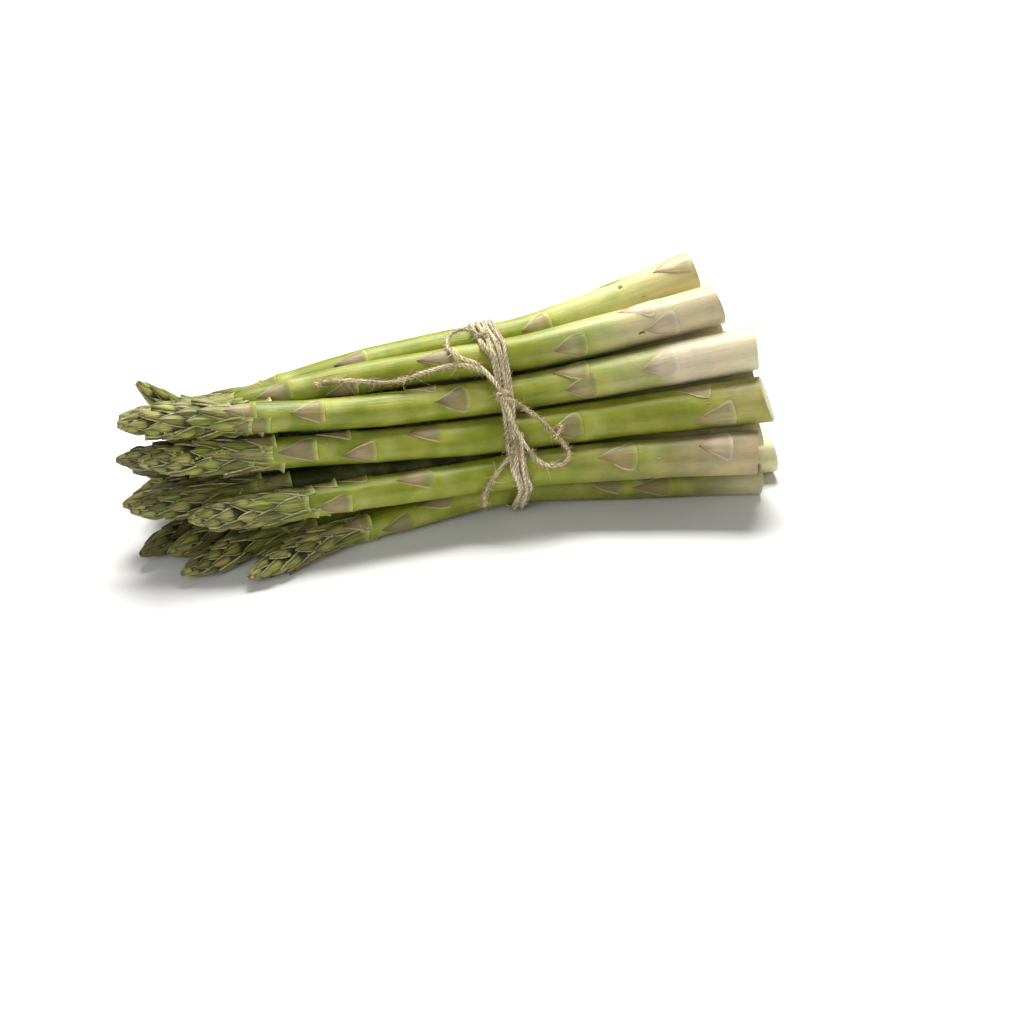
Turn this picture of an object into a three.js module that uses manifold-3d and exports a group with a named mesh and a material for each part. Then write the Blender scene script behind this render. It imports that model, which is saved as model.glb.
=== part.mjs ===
// A bunch of eighteen green asparagus spears, tied round the middle with jute twine and lying on its side.
// Millimetres, +Z up. The spears run along X, heads towards -X and cut ends towards +X.
// Each spear is one solid: its stem, the scale leaves up the stem and the overlapping scales of its head.
// The twine goes four times round the bunch, is bound by a knot on the upper front, and leaves
// a bow loop, a small standing loop and two loose ends there.
import * as THREE from "three";
import { mergeVertices } from "three/addons/utils/BufferGeometryUtils.js";
import Module from "manifold-3d";

const wasm = await Module();
wasm.setup();

// Driving dimensions
const TIE_RADIUS = 5.95; // a middling stem where the twine holds it
const STEM_PITCH = 12.9; // between stems packed under the twine
const BUTT_GIRTH = 1.3; // radius at the cut end, over the radius at the tie
const NECK_GIRTH = 0.86; // radius below the head, over the radius at the tie
const NECK_FROM = -70; // x where the neck's girth is reached
const HEAD_GIRTH = 0.95; // widest radius of the head with its scales
const HEAD_LENGTH = 46; // from where the stem starts to swell, to the tip
const TAPER_LENGTH = 27; // from the head's widest place to the tip
const TWINE = 1.8; // twine diameter
const TURNS = 4;
const TURN_PITCH = 2.15; // the turns lie side by side
const GAP = 0.3; // left between pieces that touch
const FLAT = 0.25; // how far the lowest stems are pressed flat where they rest
const LIFT = TWINE + GAP + FLAT + 0.05; // the twine runs under the lowest stems
const LIFT_REACH = 28;
const ORIGIN_X = 16.84; // moves the middle of the bunch's box to the origin
const ORIGIN_Y = 4.27;

// Upright planes across the bunch, besides the one through the twine: one near each end, and one
// half-way to the heads.
const BUTT_PLANE = 85;
const TIP_PLANE = -115;
const NECK_PLANE = -52;
const ROOM = 1.15; // clear space between two stems, for their scale leaves
const SETTLE_ROUNDS = 400;
const SOFTNESS = 0.25; // of the bend at the twine, as a share of the length to an end plane
const HOOK_FROM = -50; // x where a head starts to bend away
const TIP_REST = 16; // a tip on the table lies at the height that its stem has this far back

// row and place: where the stem lies in the stack under the twine, with rows counted from the table.
// butt and head: y and z of the stem in the planes near the ends, before they are pushed clear.
// ends: x of the cut end and of the tip. girth: thickness. hook: how far the head bends away, in y and z,
// from hookFrom on. cut: girth at the cut end, where it isn't the usual one.
// leaves: x of the base of each scale leaf and the side it is on, for the spears that are seen best. Sides
// are angles that run from the front (-Y) over the top.
const SPEARS = [
  { row: 0, place: -1.5, butt: [-34, 8], head: [-32, 6], ends: [89, -97], girth: 0.92, hook: [-11, 0],
    cut: 1.02, leaves: [[57, 15], [40, 35], [-22, 60], [-38, 5]] },
  { row: 0, place: -0.5, butt: [-20, 8], head: [-26, 6], ends: [99, -118], girth: 0.94, hook: [-11, 0] },
  { row: 0, place: 0.5, butt: [-3, 8], head: [-13, 7], ends: [82, -121], girth: 0.96, hook: [-12.5, 2] },
  { row: 0, place: 1.5, butt: [15, 8], head: [0, 7], ends: [78, -130], girth: 0.96, hook: [-18, 0] },
  { row: 1, place: -2, butt: [-44, 23], head: [-28, 21], ends: [83, -113], girth: 1.03, hook: [0, 0],
    leaves: [[74, 58], [42, 45], [22, 170], [-30, 63], [-52, 126], [-59, 3]] },
  { row: 1, place: -1, butt: [-27, 23], head: [-16, 20], ends: [91, -131], girth: 0.95, hook: [0, 0] },
  { row: 1, place: 0, butt: [-6, 24], head: [-3, 18], ends: [88, -133], girth: 1, hook: [-2, 1] },
  { row: 1, place: 1, butt: [12, 24], head: [10, 17], ends: [83, -123], girth: 0.95, hook: [0, 0] },
  { row: 1, place: 2, butt: [30, 20], head: [18, 6], ends: [79, -127], girth: 1, hook: [4, 0] },
  { row: 2, place: -1.5, butt: [-34, 38], head: [-17, 39], ends: [91, -126], girth: 1.03, hook: [0, 0],
    leaves: [[77, -6], [70, 98], [25, 20], [-25, 72], [-48, 6], [-56, 111], [-68, 36]] },
  { row: 2, place: -0.5, butt: [-16, 38], head: [-8, 30], ends: [89, -133], girth: 0.96, hook: [0, 6] },
  { row: 2, place: 0.5, butt: [2, 40], head: [3, 25], ends: [82, -128], girth: 0.95, hook: [-3, 0] },
  { row: 2, place: 1.5, butt: [20, 39], head: [23, 16], ends: [86, -119], girth: 1, hook: [3, 0] },
  { row: 3, place: -1, butt: [-24, 53], head: [-13, 49], ends: [88, -131], girth: 1.03, hook: [0, 0],
    leaves: [[60, 33], [32, 9], [30, 75], [-14, 33], [-24, 117], [-64, 45], [-82, -3]] },
  { row: 3, place: 0, butt: [-5, 54], head: [26, 24], ends: [83, -126], girth: 0.96, hook: [0, 0] },
  { row: 3, place: 1, butt: [14, 53], head: [38, 20], ends: [79, -118], girth: 0.97, hook: [2, 2] },
  { row: 4, place: -0.5, butt: [-10, 63], head: [-2, 43], ends: [78, -130], girth: 1, hook: [0, 6],
    hookFrom: -90, cut: 1.24, leaves: [[62, 6], [56, 87], [30, 15], [-15, 57], [-50, -3], [-72, 48]] },
  { row: 4, place: 0.5, butt: [8, 72], head: [11, 31], ends: [76, -122], girth: 0.96, hook: [0, 21],
    hookFrom: -95, cut: 1.26, leaves: [[75, 78], [52, 140], [22, 45], [-43, 54], [-74, 66]] },
];

const radians = (degrees) => (degrees * Math.PI) / 180;
const ramp = (t) => {
  const k = Math.min(1, Math.max(0, t));
  return k * k * (3 - 2 * k);
};
// 0 at the tie and 1 at an end plane: bent close to the twine and straight further out.
const bow = (t) => (Math.hypot(t, SOFTNESS) - SOFTNESS) / (Math.hypot(1, SOFTNESS) - SOFTNESS);

// A spear's radius at x, with the scales of its head, over its radius at the tie.
function girthAt(spear, x) {
  const [butt, tip] = spear.ends;
  const fromTip = x - tip;
  const thicker = (spear.cut ?? BUTT_GIRTH) - 1;
  const stem = x > 0 ? 1 + thicker * (x / butt) : 1 - (1 - NECK_GIRTH) * Math.min(1, x / NECK_FROM);
  if (fromTip > HEAD_LENGTH) return stem;
  if (fromTip > TAPER_LENGTH) {
    return stem + (HEAD_GIRTH - stem) * ramp((HEAD_LENGTH - fromTip) / (HEAD_LENGTH - TAPER_LENGTH));
  }
  const k = Math.max(0, fromTip / TAPER_LENGTH);
  return HEAD_GIRTH * Math.sqrt(1 - (1 - k) ** 2.2);
}

const radiusAt = (spear, x) => TIE_RADIUS * spear.girth * girthAt(spear, x);

// The spears' centres where they cross one plane, pushed apart in turn until they clear one another.
function settle(start, radius, lowest) {
  const spots = SPEARS.map(start);
  const radii = SPEARS.map(radius);
  const floors = SPEARS.map(lowest);
  for (let round = 0; round < SETTLE_ROUNDS; round++) {
    spots.forEach((a, i) => {
      for (let j = i + 1; j < spots.length; j++) {
        const b = spots[j];
        const away = [b[0] - a[0], b[1] - a[1]];
        const distance = Math.hypot(...away);
        const push = (radii[i] + radii[j] + ROOM - distance) / 2 / distance;
        if (push > 0) {
          a[0] -= away[0] * push;
          a[1] -= away[1] * push;
          b[0] += away[0] * push;
          b[1] += away[1] * push;
        }
      }
      a[1] = SPEARS[i].row ? Math.max(a[1], floors[i]) : floors[i];
    });
  }
  return spots;
}

const tieSpots = settle(
  (s) => [s.place * STEM_PITCH, TIE_RADIUS + LIFT + (s.row * STEM_PITCH * Math.sqrt(3)) / 2],
  (s) => radiusAt(s, 0),
  (s) => radiusAt(s, 0) + LIFT,
);
const buttSpots = settle(
  (s) => [...s.butt],
  (s) => radiusAt(s, BUTT_PLANE),
  (s) => radiusAt(s, BUTT_PLANE),
);
const headSpots = settle(
  (s) => [...s.head],
  (s) => TIE_RADIUS * s.girth * HEAD_GIRTH,
  (s) => TIE_RADIUS * s.girth * HEAD_GIRTH,
);

const between = (i, end, f) => tieSpots[i].map((from, k) => from + (end[k] - from) * f);
const halfway = SPEARS.map((_, i) => between(i, headSpots[i], bow(NECK_PLANE / TIP_PLANE)));
const neckSpots = settle(
  (s) => [...halfway[SPEARS.indexOf(s)]],
  (s) => radiusAt(s, NECK_PLANE),
  (s) => radiusAt(s, NECK_PLANE),
);
// How much of the step aside at the neck plane a spear takes at x: none at the tie and at the tip plane.
const aside = (x) => (x > 0 ? 0 : Math.sin(Math.PI * Math.min(1, x / TIP_PLANE)) ** 2);

// The middle of a spear at x.
function centreAt(spear, x) {
  const i = SPEARS.indexOf(spear);
  const end = x > 0 ? buttSpots[i] : headSpots[i];
  const f = bow(x / (x > 0 ? BUTT_PLANE : TIP_PLANE));
  const bendFrom = spear.hookFrom ?? HOOK_FROM;
  const hook = Math.max(0, (x - bendFrom) / (spear.ends[1] - bendFrom)) ** 2;
  const step = aside(x) / aside(NECK_PLANE);
  let [y, z] = between(i, end, f).map(
    (along, k) => along + spear.hook[k] * hook + (neckSpots[i][k] - halfway[i][k]) * step,
  );
  if (spear.row === 0) {
    const lift = LIFT * Math.exp(-((x / LIFT_REACH) ** 2));
    z = radiusAt(spear, Math.max(x, spear.ends[1] + TIP_REST)) - FLAT + lift + spear.hook[1] * hook;
  }
  return new THREE.Vector3(x, y, z);
}

// A point off a spear's middle line: angle in degrees from the front over the top, height from the line.
function offSpear(spear, x, angle, height) {
  const centre = centreAt(spear, x);
  const along = centreAt(spear, x + 0.5).sub(centreAt(spear, x - 0.5)).normalize();
  const upward = new THREE.Vector3(0, 0, 1).addScaledVector(along, -along.z).normalize();
  const frontward = new THREE.Vector3().crossVectors(along, upward);
  return centre
    .addScaledVector(frontward, height * Math.cos(radians(angle)))
    .addScaledVector(upward, height * Math.sin(radians(angle)));
}

// Corners and triangles as a closed solid, with its faces turned outwards.
function solidOf(points, triangles) {
  const vertProperties = new Float32Array(points.flatMap((p) => p.toArray()));
  const build = (faces) =>
    new wasm.Manifold(new wasm.Mesh({ numProp: 3, vertProperties, triVerts: new Uint32Array(faces.flat()) }));
  const solid = build(triangles);
  return solid.volume() > 0 ? solid : build(triangles.map(([a, b, c]) => [a, c, b]));
}

// Rings of equal size between two end points, as a closed solid.
function loft(rings, startPoint, endPoint) {
  const sides = rings[0].length;
  const points = [...rings.flat(), startPoint, endPoint];
  const first = points.length - 2;
  const last = points.length - 1;
  const triangles = [];
  for (let i = 0; i < sides; i++) {
    const next = (i + 1) % sides;
    triangles.push([first, i, next]);
    for (let ring = 0; ring < rings.length - 1; ring++) {
      const a = ring * sides;
      triangles.push([a + i, a + sides + i, a + sides + next], [a + i, a + sides + next, a + next]);
    }
    const a = (rings.length - 1) * sides;
    triangles.push([last, a + next, a + i]);
  }
  return solidOf(points, triangles);
}

const SIDES = 10;
const TURN = 83; // degrees from one spear's lattice to the next, so that no two look alike
const SLANT = 0.16; // of the cut end, as the knife seldom goes straight across
const STEM_STATIONS = [1, 0.72, 0.45, 0.24, 0.1, 0]; // of the cut end's x
const NECK_STATIONS = [0.16, 0.4, 0.7, 1]; // of the way from the tie to the head
const HEAD_ROWS = [39, 32.5, 26.5, 20.5, 14.5, 9, 4.5]; // from the tip: the edges of each row of scales
const SCALE_LEAN = 2.9; // how far a scale's point reaches past its row, and its corners stay behind
const LEAN_FULL = 12; // from the tip: nearer to it the points are shorter
const POINT_STEP = 0.8; // thickness of a scale at its point, and at its corners
const CORNER_STEP = 0.4;
const EDGE_WIDTH = 0.15;
const LEAST_RADIUS = 0.5;

// One closed lattice for the stem and the head. In the head each row of five scales ends in a
// zigzag edge that stands proud of the next row, and every other row is turned by half a scale.
function stemOf(spear, number) {
  const [butt, tip] = spear.ends;
  const headStart = tip + HEAD_LENGTH;
  const ringOf = (xAt, heightAt) =>
    Array.from({ length: SIDES }, (_, i) => {
      const angle = number * TURN + (i * 360) / SIDES;
      return offSpear(spear, xAt(i, angle), angle, heightAt(i, xAt(i, angle)));
    });

  const slant = SLANT * Math.sin(number * TURN);
  const cutRadius = radiusAt(spear, butt);
  const cutEnd = ringOf(
    (i, angle) => butt + slant * cutRadius * Math.cos(radians(angle)),
    () => cutRadius,
  );
  const along = [...STEM_STATIONS.slice(1).map((k) => k * butt), ...NECK_STATIONS.map((k) => k * headStart)];
  const stem = along.map((station) => ringOf(() => station, (i, x) => radiusAt(spear, x)));

  const head = HEAD_ROWS.flatMap((fromTip, row) => {
    const lean = SCALE_LEAN * Math.min(1, fromTip / LEAN_FULL);
    const isCorner = (i) => (i + row) % 2 === 1;
    const xAt = (i) => tip + fromTip + (isCorner(i) ? lean : -lean);
    const under = (i, x) => radiusAt(spear, x) - (isCorner(i) ? CORNER_STEP : POINT_STEP);
    return [
      ringOf(xAt, (i, x) => radiusAt(spear, x)),
      ringOf((i) => xAt(i) - EDGE_WIDTH, (i, x) => Math.max(LEAST_RADIUS, under(i, x))),
    ];
  });
  return loft([cutEnd, ...stem, ...head], centreAt(spear, butt), centreAt(spear, tip));
}

// A keeled, pointed scale leaf that lies along the stem and grows from it.
const LEAF = { length: 13.5, halfWidth: 44, edge: 0.05, keel: 0.45, collar: 0.36, point: 0.1 };
const LEAF_ROOT = 0.4; // depth of its root in the stem, as a share of the stem's radius

// base is the x of its wide end, angle the side that it grows on. It points to the spear's tip.
function leafOf(spear, base, angle) {
  const at = (along, across, height) => {
    const x = base - along * LEAF.length;
    return offSpear(spear, x, angle + across * LEAF.halfWidth, radiusAt(spear, x) + height);
  };
  const root = base - LEAF.length / 3;
  const points = [
    at(0, -1, LEAF.edge),
    at(-0.06, 0, LEAF.collar),
    at(0, 1, LEAF.edge),
    at(0.45, -0.7, LEAF.edge),
    at(0.4, 0, LEAF.keel),
    at(0.45, 0.7, LEAF.edge),
    at(1, 0, LEAF.point),
    offSpear(spear, root, angle, radiusAt(spear, root) * LEAF_ROOT),
  ];
  const outside = [[0, 1, 3], [1, 4, 3], [1, 2, 4], [2, 5, 4], [3, 4, 6], [4, 5, 6]];
  const inside = [[1, 0, 7], [2, 1, 7], [0, 3, 7], [3, 6, 7], [6, 5, 7], [5, 2, 7]];
  return solidOf(points, [...outside, ...inside]);
}

const GOLDEN = 137.5; // degrees from one scale to the next, up the spear
const LEAF_SHARES = [0.9, 0.68, 0.48, 0.29, 0.12]; // of the way from the head to the cut end
const TIE_CLEAR = 8; // no scale leaf is under the twine

function leavesOf(spear, number) {
  const headStart = spear.ends[1] + HEAD_LENGTH;
  const byRule = LEAF_SHARES.map((share, k) => [
    headStart + share * (spear.ends[0] - headStart),
    number * TURN + k * GOLDEN,
  ]);
  return (spear.leaves ?? byRule)
    .filter(([base]) => base < -TIE_CLEAR || base - LEAF.length > TIE_CLEAR)
    .map(([base, angle]) => leafOf(spear, base, angle));
}

// What lies below the surface that the bunch rests on is cut off, which leaves the flat spots.
const BELOW = { length: 400, width: 200, height: 20 };
const below = new THREE.BoxGeometry(BELOW.length, BELOW.width, BELOW.height);
below.translate(0, 0, -BELOW.height / 2);

// A three.js geometry as a solid, and back.
function solidFrom(geometry) {
  const bare = geometry.clone().deleteAttribute("normal").deleteAttribute("uv");
  const merged = mergeVertices(bare, 1e-4);
  return new wasm.Manifold(
    new wasm.Mesh({
      numProp: 3,
      vertProperties: merged.attributes.position.array,
      triVerts: new Uint32Array(merged.index.array),
    }),
  );
}

function geometryOf(solid) {
  const mesh = solid.getMesh();
  const geometry = new THREE.BufferGeometry();
  geometry.setAttribute("position", new THREE.BufferAttribute(mesh.vertProperties, 3));
  geometry.setIndex(new THREE.BufferAttribute(mesh.triVerts, 1));
  geometry.computeVertexNormals();
  return geometry;
}

const asparagus = () => new THREE.MeshStandardMaterial({ color: 0x7f9a3c, roughness: 0.5, metalness: 0 });
const jute = () => new THREE.MeshStandardMaterial({ color: 0xb09670, roughness: 0.95, metalness: 0 });

const bundle = new THREE.Group();
bundle.position.set(ORIGIN_X, ORIGIN_Y, 0);

SPEARS.forEach((spear, number) => {
  let solid = stemOf(spear, number);
  for (const leaf of leavesOf(spear, number)) solid = solid.add(leaf);
  if (spear.row === 0) solid = solid.subtract(solidFrom(below));
  const mesh = new THREE.Mesh(geometryOf(solid), asparagus());
  mesh.name = "spear_" + String(number + 1).padStart(2, "0");
  bundle.add(mesh);
});

// The twine's outline round the stems is that of a tight band. It starts and ends at the knot,
// on the long straight side that faces the viewer.
const KNOT_STEM = SPEARS[13];
const KNOT_ANGLE = 30; // square to that side, from the front over the top
const TURN_STEP = 12; // degrees
const TWINE_SIDES = 6;
const BAND_LEAN = 1.3; // how far the band's top leans towards the heads

function onBand(x, angle, height) {
  const normal = new THREE.Vector3(0, -Math.cos(radians(angle)), Math.sin(radians(angle)));
  const touch = (spear) => centreAt(spear, x).addScaledVector(normal, radiusAt(spear, x) + height);
  return SPEARS.map(touch).reduce((far, point) => (point.dot(normal) > far.dot(normal) ? point : far));
}

function wraps() {
  const steps = (TURNS * 360) / TURN_STEP;
  const rings = Array.from({ length: steps + 1 }, (_, step) => {
    const angle = KNOT_ANGLE + step * TURN_STEP;
    const x = TURN_PITCH * TURNS * (step / steps - 0.5) - BAND_LEAN * Math.sin(radians(angle));
    const atKnot = step === 0 || step === steps;
    return Array.from({ length: TWINE_SIDES }, (_, i) => {
      const turn = radians(((i + 0.5) * 360) / TWINE_SIDES);
      const height = GAP + (TWINE / 2) * (1 + Math.cos(turn));
      const point = atKnot
        ? offSpear(KNOT_STEM, x, KNOT_ANGLE, radiusAt(KNOT_STEM, x) + height)
        : onBand(x, angle, height);
      return point.setX(x + (TWINE / 2) * Math.sin(turn));
    });
  });
  const middle = (ring) => ring.reduce((sum, p) => sum.add(p), new THREE.Vector3()).divideScalar(ring.length);
  return loft(rings, middle(rings[0]), middle(rings.at(-1)));
}

// The knot: three short loops of twine pulled into one lump, on the outside of the turns.
const KNOT_X = -3.4;
const KNOT_LOOP = 1.5; // radius of one loop's middle line
const KNOT_TURNS = [[20, 0, 35], [90, 25, 0], [60, -50, 80]]; // how each loop is turned, in degrees
const KNOT_SIDES = 5;
const KNOT_STEPS = 9;

function knot() {
  const height = radiusAt(KNOT_STEM, KNOT_X) + GAP + TWINE + GAP + KNOT_LOOP + TWINE / 2;
  const place = offSpear(KNOT_STEM, KNOT_X, KNOT_ANGLE, height);
  return KNOT_TURNS.map((turn) =>
    solidFrom(
      new THREE.TorusGeometry(KNOT_LOOP, TWINE / 2, KNOT_SIDES, KNOT_STEPS)
        .applyMatrix4(new THREE.Matrix4().makeRotationFromEuler(new THREE.Euler(...turn.map(radians))))
        .translate(...place.toArray()),
    ),
  ).reduce((all, loop) => all.add(loop));
}

// The loose stretches, each from where it leaves the knot or the turns.
const LOOSE_TWINE = {
  twine_tail_left: [
    [-7.5, -13.5, 52.5], [-10, -13, 54], [-13.5, -12.4, 55.3], [-18.3, -12, 56], [-22.5, -11.9, 55.6],
    [-26, -11.9, 54.9], [-29.4, -11.9, 54.2], [-33.7, -12, 53.2], [-38.2, -11.8, 52.6], [-43.2, -11.3, 52.8],
    [-48.2, -10.6, 53.6], [-53.1, -9.6, 54.2], [-57.8, -8.4, 54.5], [-61.1, -8, 54.3], [-64.4, -8.4, 53.7],
  ],
  twine_tail_lower: [
    [-2.3, -23.3, 43], [-1.8, -24.4, 41], [-1.3, -26.4, 37.7], [-1.2, -28.9, 33.6], [-2.8, -31.1, 29.7],
    [-6.1, -32.2, 25.9], [-9.8, -33.2, 22.1], [-12.2, -33.5, 18], [-13.2, -33, 14.5], [-13, -32, 11.5],
  ],
  twine_bow_loop: [
    [1.9, -23.2, 43.8], [4.5, -23.7, 41.6], [7.4, -24, 39.2], [10.5, -26.3, 36.2], [13.9, -28.9, 32.3],
    [16.7, -30.9, 28.9], [17.4, -32.6, 26.1], [15.5, -34, 24.5], [12.7, -34.1, 23.9], [9.6, -33.8, 24.1],
    [7, -33.4, 25.6], [5, -32.8, 27.7], [3.4, -31.9, 30],
  ],
  twine_small_loop: [
    [-6.9, -4, 61.6], [-9, -2.7, 62.9], [-12.2, -1.5, 63.3], [-15.4, -1.6, 62.6], [-17.8, -3.8, 61.1],
    [-18.4, -7, 60], [-17.2, -10.6, 59.4], [-14.8, -13, 58.6], [-11.8, -14.1, 57.4], [-9.2, -14.7, 55.8],
  ],
};
const LOOSE_SIDES = 8;
const LOOSE_STEP = 4.5;

function looseTwine(points) {
  const route = new THREE.CatmullRomCurve3(points.map((p) => new THREE.Vector3(...p)), false, "centripetal");
  const section = new THREE.Shape().absarc(0, 0, TWINE / 2, 0, 2 * Math.PI);
  const shape = new THREE.ExtrudeGeometry(section, {
    extrudePath: route,
    steps: Math.round(route.getLength() / LOOSE_STEP),
    curveSegments: LOOSE_SIDES / 2,
  });
  return solidFrom(shape);
}

function addTwine(name, solid) {
  const mesh = new THREE.Mesh(geometryOf(solid), jute());
  mesh.name = name;
  bundle.add(mesh);
}

addTwine("twine_wraps", wraps());
addTwine("twine_knot", knot());
for (const [name, points] of Object.entries(LOOSE_TWINE)) addTwine(name, looseTwine(points));

export default bundle;
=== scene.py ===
"""A bunch of green asparagus, tied with jute twine, dressed for rendering.

Lengths are in millimetres and angles in degrees until a mesh is finished, which turns them into metres.
Along a spear, x runs from its head (below 0) past the twine (0) to its cut end. Round a spear, an angle runs
from the front (0) over the top (90).
"""

import math
from collections import namedtuple

import bpy
import numpy as np
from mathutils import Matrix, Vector


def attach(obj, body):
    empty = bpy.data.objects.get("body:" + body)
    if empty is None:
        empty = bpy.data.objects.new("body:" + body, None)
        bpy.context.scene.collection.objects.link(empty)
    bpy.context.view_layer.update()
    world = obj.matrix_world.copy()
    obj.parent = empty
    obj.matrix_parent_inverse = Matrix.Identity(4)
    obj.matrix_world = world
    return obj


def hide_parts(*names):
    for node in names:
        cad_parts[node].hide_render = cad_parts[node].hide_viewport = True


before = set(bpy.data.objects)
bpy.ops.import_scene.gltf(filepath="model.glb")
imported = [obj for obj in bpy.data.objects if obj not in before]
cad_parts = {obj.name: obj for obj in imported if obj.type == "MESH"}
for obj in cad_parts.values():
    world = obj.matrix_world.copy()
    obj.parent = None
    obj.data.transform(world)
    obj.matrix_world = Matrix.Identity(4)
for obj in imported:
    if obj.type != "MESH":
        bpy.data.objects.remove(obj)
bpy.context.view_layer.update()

MM = 0.001
ORIGIN = np.array([16.84, 4.27, 0.0])  # the twine is at x = 0 in the tables below

# The camera
CAMERA_AT = (ORIGIN + [-138.58, -505.3, 338.14]) * MM
CAMERA_AZIMUTH = math.radians(-16)
CAMERA_ELEVATION = math.radians(34)
CAMERA_LENS = 60
CAMERA_SENSOR = 36
CAMERA_NEAR = 0.01
CAMERA_FAR = 10


def placed(name, data):
    """A new object in the scene."""
    made = bpy.data.objects.new(name, data)
    bpy.context.scene.collection.objects.link(made)
    return made


def aim(held, direction):
    """Turns a camera or a light to look in a direction."""
    held.rotation_mode = "QUATERNION"
    held.rotation_quaternion = direction.to_track_quat("-Z", "Y")


def place_camera():
    camera = placed("camera", bpy.data.cameras.new("camera"))
    camera.location = CAMERA_AT
    back = Vector((
        math.sin(CAMERA_AZIMUTH) * math.cos(CAMERA_ELEVATION),
        -math.cos(CAMERA_AZIMUTH) * math.cos(CAMERA_ELEVATION),
        math.sin(CAMERA_ELEVATION),
    ))
    aim(camera, -back)
    camera.data.lens = CAMERA_LENS
    camera.data.sensor_width = CAMERA_SENSOR
    camera.data.clip_start = CAMERA_NEAR
    camera.data.clip_end = CAMERA_FAR
    bpy.context.scene.camera = camera


# Colours and small helpers
def colour(code):
    """A hex colour as linear RGB."""
    parts = [int(code[i:i + 2], 16) / 255 for i in (1, 3, 5)]
    return np.array([c / 12.92 if c <= 0.04045 else ((c + 0.055) / 1.055) ** 2.4 for c in parts])


def ramp(t):
    """0 up to t = 0 and 1 from t = 1 on, with a soft change between them."""
    k = np.clip(t, 0, 1)
    return k * k * (3 - 2 * k)


def rise(value, start, full):
    """0 up to start and 1 from full on, with a soft change between them. Full may be the smaller one."""
    return ramp((value - start) / (full - start))


def peak(value, centre, width):
    """1 at the centre, with a soft fall to 0 on both sides."""
    return np.exp(-(((value - centre) / width) ** 2))


def mixed(a, b, share):
    """Tone a with a share of tone b."""
    share = np.asarray(share)[..., None]
    return a * (1 - share) + b * share


def washed(tone, value, washes):
    """The tone under washes of others: each with its greatest share, where it starts and where it is full."""
    for other, share, start, full in washes:
        tone = mixed(tone, other, share * rise(value, start, full))
    return tone


def stacked(*parts):
    """Arrays of numbers as one array of points."""
    return np.stack(np.broadcast_arrays(*parts), -1)


def unit(v):
    return v / np.maximum(np.linalg.norm(v, axis=-1, keepdims=True), 1e-9)


def turned(degrees):
    """The difference of two angles, between -180 and 180."""
    return (np.asarray(degrees) + 180) % 360 - 180


def facing(angle, side, reach):
    """1 where the angle is that of a side, and 0 from so many degrees away."""
    return np.clip(1 - (np.abs(turned(angle - side)) / reach) ** 2, 0, 1)


# The CAD's layout
TIE_RADIUS = 5.95
STEM_PITCH = 12.9
BUTT_GIRTH = 1.3
NECK_GIRTH = 0.86
NECK_FROM = -70
HEAD_GIRTH = 0.95
HEAD_LENGTH = 46
TAPER_LENGTH = 27
TAPER_ROUNDNESS = 2.2
TWINE = 1.8
TURNS = 4
TURN_PITCH = 2.15
GAP = 0.3
FLAT = 0.25
LIFT = TWINE + GAP + FLAT + 0.05
LIFT_REACH = 28
BUTT_PLANE = 85
TIP_PLANE = -115
NECK_PLANE = -52
ROOM = 1.15
SETTLE_ROUNDS = 400
SOFTNESS = 0.25
HOOK_FROM = -50
TIP_REST = 16
TURN = 83
SLANT = 0.16
GOLDEN = 137.5
LEAF_SHARES = [0.9, 0.68, 0.48, 0.29, 0.12]
TIE_CLEAR = 8
LEAF_LENGTH = 13.5

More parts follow.
